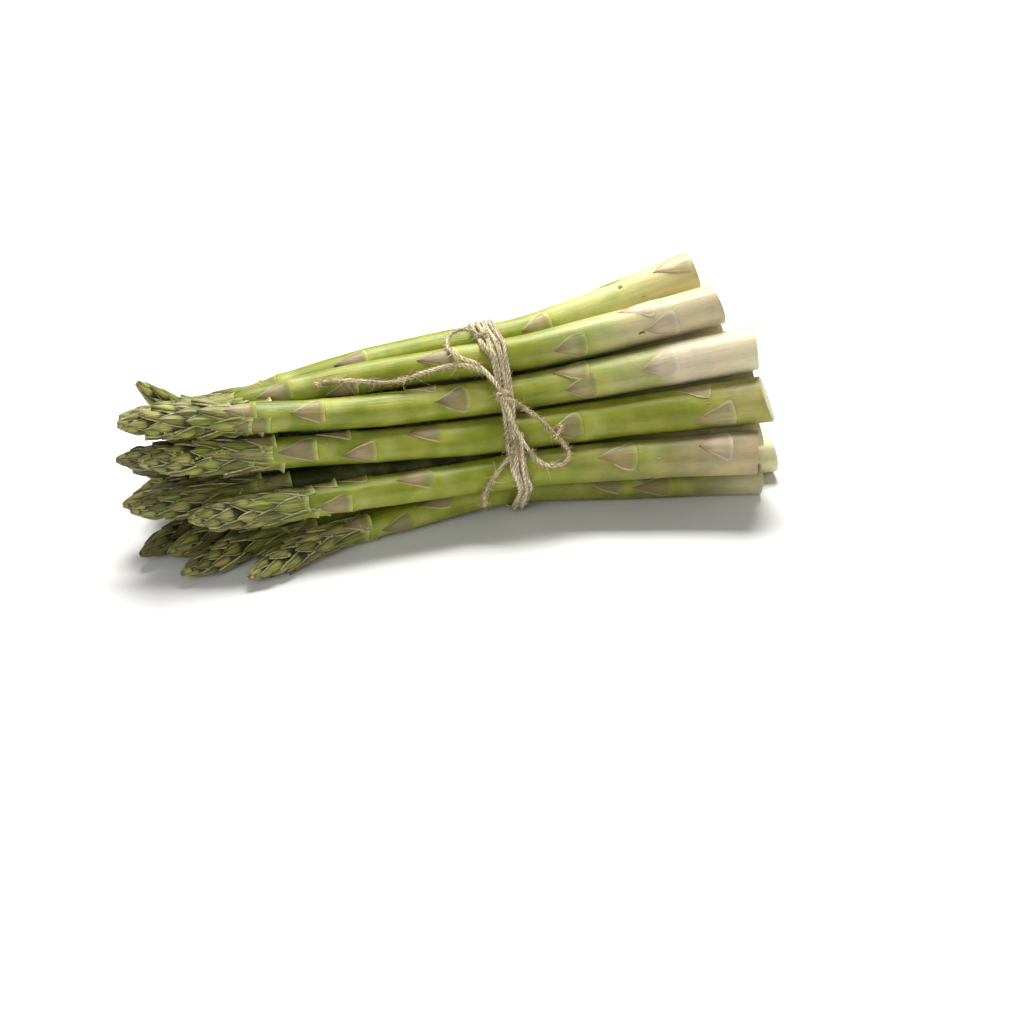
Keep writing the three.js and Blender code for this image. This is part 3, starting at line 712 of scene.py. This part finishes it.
def mark(sheets, i, x, side, size):
    """A small side bud: a curl of skin with a dark, sunken curl beside it as its painted shadow."""
    u = np.linspace(0, math.pi, 8)[:, None]
    v = (np.arange(10) * math.pi / 5)[None, :]
    radius = radius_at(i, x)
    for shift, thick, high, tone in MARK_PARTS:
        thickness = thick * size * 0.5 * np.sin(u)
        curl = shift * size * 0.6 + 0.35 * size * np.sin(u) + thickness * np.cos(v)
        angle = side + np.degrees(curl / float(radius))
        points = off_spear(i, x + np.cos(u) * size * 0.8, angle, radius + thickness * np.sin(v) + high)
        sheets.add(points, with_wax(np.broadcast_to(SKIN[tone], points.shape), 0), points, closed=True)


def spear(i, material):
    """One whole spear: stem, scale leaves, side buds and head."""
    rng = np.random.default_rng(100 + i)
    sheets = Sheets()
    leaves = leaf_list(i)
    tip = SPEARS[i]["ends"][1]
    stem(sheets, i, leaves + [(tip + HEAD_FROM, i * TURN)], rng)
    for base, side in leaves:
        stem_leaf(sheets, i, base, side, rng)
    for k, beyond in enumerate(COLLAR):
        base = tip + HEAD_FROM + beyond
        side = i * TURN + COLLAR_SIDE - k * GOLDEN
        near = [
            abs(base - x) <= COLLAR_CLEAR and abs(turned(side - at)) <= COLLAR_CLEAR_ROUND
            for x, at in leaves
        ]
        if not any(near):
            stem_leaf(sheets, i, base, side, rng, share=0.85, lifted=0.45)
    for number, x, side, size in MARKS:
        if number == i + 1:
            mark(sheets, i, x, side, size)
    for k in range(SCALES):
        from_tip = HEAD_TO + (HEAD_FROM - HEAD_TO) * (1 - k / (SCALES - 1)) ** CROWDING
        side = i * TURN + k * GOLDEN + rng.uniform(-9, 9)
        head_scale(sheets, i, from_tip + rng.uniform(-0.8, 0.8), side, rng)
        if BUD_ZONE[0] < from_tip < BUD_ZONE[1]:
            buds(sheets, i, from_tip, side, rng)
    node = f"spear_{i + 1:02d}"
    return sheets.finished(node + "_fresh", material, node, "spear")


# Twine
JUTE = {name: colour(code) for name, code in {
    # light: the pale crests of the plies, partly painted highlight, and the palest hairs; groove: painted
    # shade between the plies
    "light": "#fff0cb",
    "mid": "#c2aa7a",
    "groove": "#3d2c19",
}.items()}
STRAND = 1.25  # the jute's own thickness, without its hairs
PLIES = 3
PLY_PITCH = 5.2  # millimetres of twine for one turn of a ply
TWINE_STEP = 0.5
TWINE_SIDES = 15
FRAY_REACH = 22  # how far from a frayed end the plies come loose
HAIR_THICK = (0.05, 0.12)
HAIR_SAG = 0.25


def resampled(points, step):
    """A polyline's points, evenly spaced."""
    points = np.asarray(points, float)
    run = np.concatenate([[0], np.cumsum(np.linalg.norm(np.diff(points, axis=0), axis=1))])
    count = max(2, int(round(run[-1] / step)) + 1)
    at = np.linspace(0, run[-1], count)
    return np.stack([np.interp(at, run, points[:, k]) for k in range(3)], -1)


def through(points):
    """A centripetal Catmull-Rom curve through the points, as a close polyline."""
    p = np.asarray(points, float)
    p = np.vstack([2 * p[0] - p[1], p, 2 * p[-1] - p[-2]])
    out = []
    for a, b, c, d in zip(p, p[1:], p[2:], p[3:]):
        t = np.cumsum([0] + [max(1e-4, np.linalg.norm(v - u)) ** 0.5 for u, v in ((a, b), (b, c), (c, d))])
        for s in np.linspace(t[1], t[2], 24, endpoint=False):
            ab = (a * (t[1] - s) + b * s) / t[1]
            bc = (b * (t[2] - s) + c * (s - t[1])) / (t[2] - t[1])
            cd = (c * (t[3] - s) + d * (s - t[2])) / (t[3] - t[2])
            abc = (ab * (t[2] - s) + bc * s) / t[2]
            bcd = (bc * (t[3] - s) + cd * (s - t[1])) / (t[3] - t[1])
            out.append((abc * (t[2] - s) + bcd * (s - t[1])) / (t[2] - t[1]))
    return np.vstack([out, p[-2]])


def frames_along(path):
    """The path's direction at each point and two directions square to it, without twist."""
    along = unit(np.gradient(path, axis=0))
    side = np.cross(along[0], [0.3, 0.2, 1.0])
    sides = []
    for direction in along:
        side = side - direction * side.dot(direction)
        side = side / np.linalg.norm(side)
        sides.append(side)
    sides = np.array(sides)
    return along, sides, np.cross(along, sides)


def strand(sheets, path, seed, diameter=STRAND, fray=0.0):
    """Twisted twine along a path: its plies bulge, and the grooves between them wind round it."""
    path = resampled(path, TWINE_STEP)
    _, sides, ups = frames_along(path)
    run = np.arange(len(path))[:, None] * TWINE_STEP
    a = (np.arange(TWINE_SIDES) * 2 * math.pi / TWINE_SIDES)[None, :]
    loosening = fray * rise(run, run[-1] - FRAY_REACH, run[-1])
    turn = 2 * math.pi * run / (PLY_PITCH * (1 + 1.2 * loosening)) + seed
    bulge = np.abs(np.cos(PLIES * (a - turn) / 2)) ** 0.7
    uneven = 0.06 * np.sin(run / 3.1 + seed) + 0.05 * np.sin(run / 1.3 + 2 * seed) * np.cos(a * 2)
    uneven = uneven + 0.05 * np.sin(run / 0.7 + 5 * seed) * np.sin(a + seed)
    radius = diameter / 2 * (0.8 + 0.22 * bulge + uneven * 1.6) * (1 - 0.35 * loosening)
    radius[[0, -1]] *= 0.35
    points = path[:, None] + sides[:, None] * (radius * np.cos(a))[..., None]
    points = points + ups[:, None] * (radius * np.sin(a))[..., None]
    # painted shade in the grooves between the plies and pale crests, partly painted highlight, varying along
    # the twine with its wear
    wear_and_highlight = 0.86 + 0.22 * np.sin(run / 7 + seed) + 0.16 * np.sin(run / 2.3 + 3 * seed)
    tone = mixed(JUTE["groove"], JUTE["light"], ramp(0.1 + bulge * 0.9) * wear_and_highlight)
    sheets.add(points, with_wax(tone, 0), stacked(run + seed * 50, (a - turn) * 1.4, 0.0), closed=True)


def fibres(sheets, path, count, longest, seed, spread=1.0, from_share=0.0, lift=0.4):
    """Loose hairs of jute that stand off the twine: spread says how much, and lift where they start."""
    rng = np.random.default_rng(seed)
    path = resampled(path, TWINE_STEP)
    k = rng.integers(int(from_share * (len(path) - 1)), len(path), count)
    ahead, side, up = (directions[k] for directions in frames_along(path))
    a = rng.uniform(0, 2 * math.pi, (count, 1))
    out = side * np.cos(a) + up * np.sin(a)
    round_it = up * np.cos(a) - side * np.sin(a)
    lean = ahead * rng.choice([-1, 1], (count, 1)) * rng.uniform(0.4, 1.6, (count, 1))
    lean = (lean + round_it * rng.uniform(-1, 1, (count, 1)))[:, None]
    curl = (ahead * rng.uniform(-1, 1, (count, 1)) + round_it * rng.uniform(-1, 1, (count, 1)))[:, None]
    length = (longest * rng.uniform(0.2, 1, (count, 1)) ** 1.6)[:, None]
    t = np.linspace(0, 1, 4)[None, :, None]
    start = path[k][:, None] + out[:, None] * TWINE * lift
    line = start + (out[:, None] * spread * t + lean * t ** 1.5 + curl * np.sin(3 * t) * 0.4) * length * 0.6
    line = line + np.array([0, 0, -HAIR_SAG]) * length * t ** 2
    thick = rng.uniform(*HAIR_THICK, (count, 1, 1, 1)) * (1.05 - t[..., None])
    corners = (np.arange(3) * 2 * math.pi / 3)[None, None, :, None]
    across = np.cross(out, ahead)[:, None, None]
    points = line[:, :, None] + (np.cos(corners) * ahead[:, None, None] + np.sin(corners) * across) * thick
    tone = mixed(JUTE["mid"], JUTE["light"], rng.uniform(-0.5, 1.3, (count, 1, 1)))
    sheets.add(points, with_wax(tone, 0), points * 0.5, closed=True)


# The turns round the bunch
BAND_LEAN = 2.2  # how far the band's top leans towards the heads
BAND_STEP = 3  # degrees
SNUG = 0.08  # what is left between the twine and the stems
PILE_ANGLE = -8  # where the turns are drawn together and lie on each other
PILE_FROM = 77.5  # degrees from there: where they start to draw together
PILE_FULL = 15.5  # and where they are fully together
PILE_HEIGHT = 1.25  # how far the topmost one lies over the band
WIND_PITCH = 9  # millimetres along the band for a strand to move round it by its distance
# Each of its strands: how far it lies from the band's path, and its thickness.
WRAP_STRANDS = [(-0.5, 0.82), (0.42, 0.92), (0.72, 1.02), (0.35, 1.12)]
WRAP_HAIRS = [
    dict(count=4500, longest=3.4, seed=5, spread=0.16, lift=0.5),
    dict(count=2800, longest=3.0, seed=8, spread=0.5, lift=0.5),
    dict(count=650, longest=6.0, seed=7, spread=0.8),
]
# Where the loose parts come out from under the turns: short strands between the knot and their first points.
LEADS = [
    [(-3.3, -22.3, 47.2), (-3, -23.4, 45), (-2.3, -23.6, 43)],
    [(-2.8, -22.5, 47), (-0.4, -23.7, 45.8), (1.9, -23.2, 43.8)],
    [(-2.8, -22.8, 46.6), (-2, -25.2, 43), (-0.6, -28, 38), (1.6, -30.7, 33), (3.4, -31.9, 30)],
    [(-3.6, -22, 48), (-5.2, -18.8, 50.8), (-7.5, -13.5, 52.5)],
    [(-3.6, -21.6, 48.6), (-6.2, -18.6, 52.6), (-9.2, -14.7, 55.8)],
    [(-6.9, -4, 61.6), (-5.2, -4.4, 62.3), (-3.6, -4.8, 62.8)],
]
LEAD_HAIRS = dict(count=90, longest=3.0, spread=0.5)

# The knot
KNOT_STEM = 13  # its stem's place in SPEARS
KNOT_ANGLE = 30
KNOT_X = -3.4
KNOT_REACH = 0.58
KNOT_OVER = 1.9  # how far its middle lies over the band
KNOT_FLATNESS = 0.8
KNOT_HAIRS = [
    dict(count=420, longest=3.0, seed=9, spread=0.2),
    dict(count=320, longest=4.2, seed=6),
]


def beside(path, distance, phase):
    """A path that winds slowly round another one."""
    path = resampled(path, TWINE_STEP)
    _, sides, ups = frames_along(path)
    turn = (np.arange(len(path)) * TWINE_STEP / WIND_PITCH)[:, None]
    turn = turn + 0.8 * np.sin(turn * 0.37 + phase) + phase
    return path + (sides * np.cos(turn) + ups * np.sin(turn)) * distance


def on_band(x, angle, height):
    """Where a tight band round the stems lies at x, on the side that faces angle."""
    normal = np.array([0, -math.cos(math.radians(angle)), math.sin(math.radians(angle))])
    touch = [centre_at(i, x) + normal * (radius_at(i, x) + height) for i in NUMBERS]
    return max(touch, key=normal.dot)


def band_path():
    """All turns of the twine round the bunch, from the knot to the knot."""
    steps = TURNS * 360 // BAND_STEP
    path = []
    for step in range(steps + 1):
        angle = KNOT_ANGLE + step * BAND_STEP
        a = math.radians(angle)
        drawn = float(rise(abs(turned(angle - PILE_ANGLE)), PILE_FROM, PILE_FULL))
        x = TURN_PITCH * TURNS * (step / steps - 0.5) * (1.12 - 0.6 * drawn) - BAND_LEAN * math.sin(a)
        x += 0.25 * math.sin(2.3 * a + 0.9) + 0.15 * math.sin(5.1 * a)
        piled = PILE_HEIGHT * drawn * (0.5 + 0.5 * math.sin(1.5 * a))
        path.append(on_band(x, angle, SNUG + TWINE / 2 + piled))
    path = resampled(path, 1.0)
    inner = (path[:-2] + path[1:-1] * 2 + path[2:]) / 4
    return np.vstack([path[:1], inner, path[-1:]])


def knot_path():
    """A trefoil knot that stands on the band."""
    height = float(radius_at(KNOT_STEM, KNOT_X)) + GAP + TWINE + KNOT_OVER
    place = off_spear(KNOT_STEM, KNOT_X, KNOT_ANGLE, height)
    t = np.linspace(0, 2 * math.pi, 90)
    loops = np.stack([
        np.sin(t) + 2 * np.sin(2 * t),
        np.cos(t) - 2 * np.cos(2 * t),
        -1.3 * np.sin(3 * t),
    ], -1) * KNOT_REACH
    out = unit(off_spear(KNOT_STEM, KNOT_X, KNOT_ANGLE, height + 1) - place)
    across = unit(np.cross(out, [1.0, 0.1, 0.2]))
    third = np.cross(out, across)
    return place + loops[:, :1] * third + loops[:, 1:2] * across + loops[:, 2:] * out * KNOT_FLATNESS


def wraps(material):
    """The turns as strands that wind round each other, with the leads to the loose parts, and their hairs."""
    jute, hairs = Sheets(), Sheets()
    around = band_path()
    for number, (distance, diameter) in enumerate(WRAP_STRANDS):
        strand(jute, beside(around, distance, 2.1 * number), 0.4 + number, diameter)
    for coat in WRAP_HAIRS:
        fibres(hairs, around, **coat)
    for number, lead in enumerate(LEADS):
        path = resampled(through(lead), TWINE_STEP)
        strand(jute, path, 3.1 * number)
        fibres(hairs, path, seed=70 + number, **LEAD_HAIRS)
    jute.finished("twine_wraps_jute", material, "twine_wraps", "twine")
    hairs.finished("twine_wraps_hairs", material, slot="twine")


def knot(material):
    sheets = Sheets()
    path = knot_path()
    strand(sheets, path, 2.2)
    for coat in KNOT_HAIRS:
        fibres(sheets, path, **coat)
    sheets.finished("twine_knot_jute", material, "twine_knot", "twine")


# The loose twine
LOOSE = {
    "twine_tail_left": [
        (-7.5, -13.5, 52.5), (-10, -13, 54), (-13.5, -12.4, 55.3), (-18.3, -12, 56), (-22.5, -11.9, 55.6),
        (-26, -11.9, 54.9), (-29.4, -11.9, 54.2), (-33.7, -12, 53.2), (-38.2, -11.8, 52.6),
        (-43.2, -11.3, 52.8), (-48.2, -10.6, 53.6), (-53.1, -9.6, 54.2), (-57.8, -8.4, 54.5),
        (-61.1, -8, 54.3), (-64.4, -8.4, 53.7),
    ],
    "twine_tail_lower": [
        (-2.3, -23.3, 43), (-1.8, -24.4, 41), (-1.3, -26.4, 37.7), (-1.2, -28.9, 33.6), (-2.8, -31.1, 29.7),
        (-6.1, -32.2, 25.9), (-9.8, -33.2, 22.1), (-12.2, -33.5, 18), (-13.2, -33, 14.5), (-13, -32, 11.5),
    ],
    "twine_bow_loop": [
        (1.9, -23.2, 43.8), (4.5, -23.7, 41.6), (7.4, -24, 39.2), (10.5, -26.3, 36.2), (13.9, -28.9, 32.3),
        (16.7, -30.9, 28.9), (17.4, -32.6, 26.1), (15.5, -34, 24.5), (12.7, -34.1, 23.9), (9.6, -33.8, 24.1),
        (7, -33.4, 25.6), (5, -32.8, 27.7), (3.4, -31.9, 30),
    ],
    "twine_small_loop": [
        (-6.9, -4, 61.6), (-9, -2.7, 62.9), (-12.2, -1.5, 63.3), (-15.4, -1.6, 62.6), (-17.8, -3.8, 61.1),
        (-18.4, -7, 60), (-17.2, -10.6, 59.4), (-14.8, -13, 58.6), (-11.8, -14.1, 57.4), (-9.2, -14.7, 55.8),
    ],
}
FAR_END = {
    "twine_tail_left": "bare",
    "twine_tail_lower": "bare",
    "twine_bow_loop": "object",
    "twine_small_loop": "object",
}
# How many hairs each has, and their coats: one in how many of these, the longest, a seed, how much they
# spread, and where they start.
FUZZ = {"twine_tail_left": 800, "twine_tail_lower": 560, "twine_bow_loop": 760, "twine_small_loop": 300}
COATS = [(1, 3.4, 30, 0.16, 0.3), (1, 2.6, 40, 0.6, 0.4), (6, 7.0, 50, 1.0, 0.4)]
FRAY = 0.5
FRAY_HAIRS = dict(count=110, longest=6.5, spread=0.5, from_share=0.86)
# A short end that stands up from the bow loop.
STUB = [(13.4, -29.6, 32.4), (14.5, -29.8, 34.2), (15.8, -29.4, 36.9)]
STUB_THICK = 0.8
STUB_HAIRS = dict(count=60, longest=3.0, seed=90)


def loose_twine(name, number, material):
    """One loose length of twine along its route, with its hairs."""
    path = resampled(through(LOOSE[name]), TWINE_STEP)
    frayed = FAR_END[name] == "bare"
    sheets = Sheets()
    strand(sheets, path, 1.7 * number, fray=FRAY if frayed else 0)
    cord = sheets.finished(name + "_jute", material, name, "twine")
    fuzz = Sheets()
    for one_in, longest, seed, spread, lift in COATS:
        fibres(fuzz, path, FUZZ[name] // one_in, longest, seed + number, spread=spread, lift=lift)
    if name == "twine_bow_loop":
        strand(fuzz, through(STUB), 0.9, diameter=STUB_THICK)
        fibres(fuzz, through(STUB), **STUB_HAIRS)
    if frayed:
        fibres(fuzz, path, seed=60 + number, **FRAY_HAIRS)
    hairs = fuzz.finished(name + "_hairs", material, slot="twine")


# Materials
class Tree:
    """Short names for making and joining shader nodes."""

    def __init__(self, tree):
        self.tree = tree

    def fill(self, node, inputs):
        """Joins a node's inputs to other sockets, or sets their values."""
        for key, value in inputs.items():
            if isinstance(value, bpy.types.NodeSocket):
                self.tree.links.new(value, node.inputs[key])
            else:
                node.inputs[key].default_value = value

    def node(self, kind, inputs=None, **settings):
        made = self.tree.nodes.new("ShaderNode" + kind)
        for key, value in settings.items():
            setattr(made, key, value)
        self.fill(made, inputs or {})
        return made

    def mix(self, share, a, b, blend="MIX"):
        """Two colours mixed: sockets 6 and 7 of Blender's mix node, with the result as output 2."""
        return self.node("Mix", {0: share, 6: a, 7: b}, data_type="RGBA", blend_type=blend).outputs[2]

    def maths(self, operation, a, b=0.0):
        return self.node("Math", {0: a, 1: b}, operation=operation).outputs[0]

    def spread(self, value, low, high, to_low=0.0, to_high=1.0):
        made = self.node("MapRange", {"Value": value, "From Min": low, "From Max": high,
                                      "To Min": to_low, "To Max": to_high})
        return made.outputs[0]

    def shaded(self, colours, value):
        """Colours made lighter or darker by a value."""
        grey = self.node("CombineColor", {0: value, 1: value, 2: value}).outputs[0]
        return self.mix(1.0, colours, grey, "MULTIPLY")


def new_material(name):
    """A material, the tree of its nodes, and its shader."""
    made = bpy.data.materials.new(name)
    made.use_nodes = True
    return made, Tree(made.node_tree), made.node_tree.nodes["Principled BSDF"]


BLOTCH_COOL = (0.8, 0.9, 0.75, 1)  # what the skin's tone is multiplied by in the blotches, and between them
BLOTCH_WARM = (1.14, 1.07, 1.0, 1)
GRAIN_INPUTS = {"Place": "NodeSocketVector", "Stretch": "NodeSocketFloat"}
# Each pattern of the grain: whether it is drawn out along it, its scale, its detail and its roughness.
GRAIN_PATTERNS = {
    "Streaks": (True, 1.6, 5.0, 0.6),
    "Fibres": (True, 3.2, 3.0, 0.55),
    "Blotches": (False, 0.13, 3.0, 0.5),
    "Specks": (False, 3.4, 2.0, 0.5),
}


def grain_group():
    """Streaks and fibres along the grain, soft blotches and fine specks, from a place in millimetres."""
    group = bpy.data.node_groups.new("grain", "ShaderNodeTree")
    for name, kind in GRAIN_INPUTS.items():
        group.interface.new_socket(name, in_out="INPUT", socket_type=kind)
    for name in GRAIN_PATTERNS:
        group.interface.new_socket(name, in_out="OUTPUT", socket_type="NodeSocketFloat")
    tree = Tree(group)
    entry = group.nodes.new("NodeGroupInput")
    leave = group.nodes.new("NodeGroupOutput")
    place = entry.outputs["Place"]
    shrink = tree.node("CombineXYZ", {"X": entry.outputs["Stretch"], "Y": 1.0, "Z": 1.0}).outputs[0]
    drawn_out = tree.node("VectorMath", {0: place, 1: shrink}, operation="MULTIPLY").outputs[0]
    for name, (along, size, detail, roughness) in GRAIN_PATTERNS.items():
        made = tree.node("TexNoise", {
            "Vector": drawn_out if along else place, "Scale": size, "Detail": detail, "Roughness": roughness,
        })
        group.links.new(made.outputs["Fac"], leave.inputs[name])
    return group


def natural_material(name, grain_nodes, stretch):
    """A material that starts from each point's tone and from the grain."""
    made, tree, shader = new_material(name)
    tone = tree.node("Attribute", attribute_name="tone")
    place = tree.node("Attribute", attribute_name="grain")
    inputs = {"Place": place.outputs["Vector"], "Stretch": stretch}
    grain = tree.node("Group", inputs, node_tree=grain_nodes)
    return made, tree, shader, tone, grain.outputs


def skin_material(grain_nodes):
    """The plant's skin: waxy and smooth where the tone's fourth value is above 0, dry and ribbed below it."""
    made, tree, shader, tone, grain = natural_material("asparagus_skin", grain_nodes, 0.06)
    streaks, ribs, blotches, specks = (grain[name] for name in GRAIN_PATTERNS)
    wax = tree.spread(tone.outputs["Alpha"], 0, 1)
    dry = tree.spread(tone.outputs["Alpha"], 0, -1)

    def tinted(body, share, name):
        return tree.mix(share, body, (*SKIN[name], 1))

    tint = tree.mix(tree.spread(blotches, 0.35, 0.65), BLOTCH_COOL, BLOTCH_WARM)
    body = tree.mix(1.0, tone.outputs["Color"], tint, "MULTIPLY")
    body = tree.shaded(body, tree.spread(streaks, 0.3, 0.7, 0.93, 1.07))
    body = tree.mix(dry, body, tree.shaded(body, tree.spread(ribs, 0.36, 0.64, 0.55, 1.38)))
    waxy = tree.maths("MULTIPLY", wax, tree.spread(blotches, 0.45, 0.7))
    body = tinted(body, tree.maths("MULTIPLY", waxy, 0.45), "wax")
    body = tinted(body, tree.spread(specks, 0.64, 0.72, 0, 0.3), "pale speck")
    body = tinted(body, tree.spread(specks, 0.33, 0.24, 0, 0.5), "dark speck")
    scuffs = tree.maths("MULTIPLY", tree.spread(streaks, 0.6, 0.7), tree.spread(blotches, 0.5, 0.62))
    body = tinted(body, tree.maths("MULTIPLY", scuffs, 0.16), "scuff")
    rough = tree.maths("ADD", tree.spread(blotches, 0.3, 0.7, 0.34, 0.46), tree.maths("MULTIPLY", dry, 0.04))
    height = tree.maths("ADD", tree.maths("MULTIPLY", streaks, 0.5), tree.maths("MULTIPLY", ribs, dry))
    height = tree.maths("ADD", height, tree.maths("MULTIPLY", specks, 0.25))
    bump = tree.node("Bump", {"Strength": 0.6, "Distance": 0.0004, "Height": height})
    tree.fill(shader, {
        "Base Color": body, "Roughness": rough, "Normal": bump.outputs[0], "IOR": 1.42,
        "Subsurface Weight": 0.1, "Subsurface Radius": (0.8, 1.0, 0.3), "Subsurface Scale": 0.0015,
    })
    return made


def jute_material(grain_nodes):
    """Dry, rough jute."""
    made, tree, shader, tone, grain = natural_material("jute", grain_nodes, 0.3)
    body = tree.shaded(tone.outputs["Color"], tree.spread(grain["Streaks"], 0.32, 0.68, 0.3, 1.6))
    height = tree.maths("ADD", grain["Streaks"], tree.maths("MULTIPLY", grain["Specks"], 0.4))
    bump = tree.node("Bump", {"Strength": 0.9, "Distance": 0.0003, "Height": height})
    tree.fill(shader, {
        "Base Color": body, "Roughness": 0.9, "Specular IOR Level": 0.15, "Normal": bump.outputs[0],
    })
    return made


# Floor and light, in metres
FLOOR = 4.0  # half of its side
FLOOR_LOOK = {"Base Color": (0.86, 0.86, 0.86, 1), "Roughness": 0.85, "Specular IOR Level": 0.1}
STUDIO_LOOK = {"Color": (1, 1, 1, 1), "Strength": 0.22}
LIGHT_AIM = (0, 0, 0.03)
# Each light: its place, its two sides, its power and its tint.
LIGHTS = {
    "key": ((0.12, 0.4, 0.85), (0.55, 0.4), 16, (1, 0.985, 0.94)),
    "front": ((-0.5, -0.6, 0.5), (0.6, 0.5), 2.2, (1, 1, 1)),
}


def lay_floor():
    mesh = bpy.data.meshes.new("floor")
    corners = [(-FLOOR, -FLOOR, 0), (FLOOR, -FLOOR, 0), (FLOOR, FLOOR, 0), (-FLOOR, FLOOR, 0)]
    mesh.from_pydata(corners, [], [(0, 1, 2, 3)])
    floor = placed("floor", mesh)
    material, tree, shader = new_material("floor")
    tree.fill(shader, FLOOR_LOOK)
    mesh.materials.append(material)


def area_light(name, at, sides, power, tint):
    lamp = bpy.data.lights.new(name, "AREA")
    lamp.shape = "RECTANGLE"
    lamp.size, lamp.size_y = sides
    lamp.energy = power
    lamp.color = tint
    held = placed(name, lamp)
    held.location = at
    aim(held, Vector(LIGHT_AIM) - Vector(at))


def light_studio():
    world = bpy.data.worlds.new("studio")
    world.use_nodes = True
    Tree(world.node_tree).fill(world.node_tree.nodes["Background"], STUDIO_LOOK)
    bpy.context.scene.world = world
    for name, values in LIGHTS.items():
        area_light(name, *values)


# The bunch
place_camera()
GRAIN = grain_group()
PLANT = skin_material(GRAIN)
JUTE_TWINE = jute_material(GRAIN)
for number, name in enumerate(LOOSE):
    loose_twine(name, number, JUTE_TWINE)
wraps(JUTE_TWINE)
knot(JUTE_TWINE)
for i in NUMBERS:
    spear(i, PLANT)
lay_floor()
light_studio()
bpy.context.scene.view_settings.view_transform = "Standard"
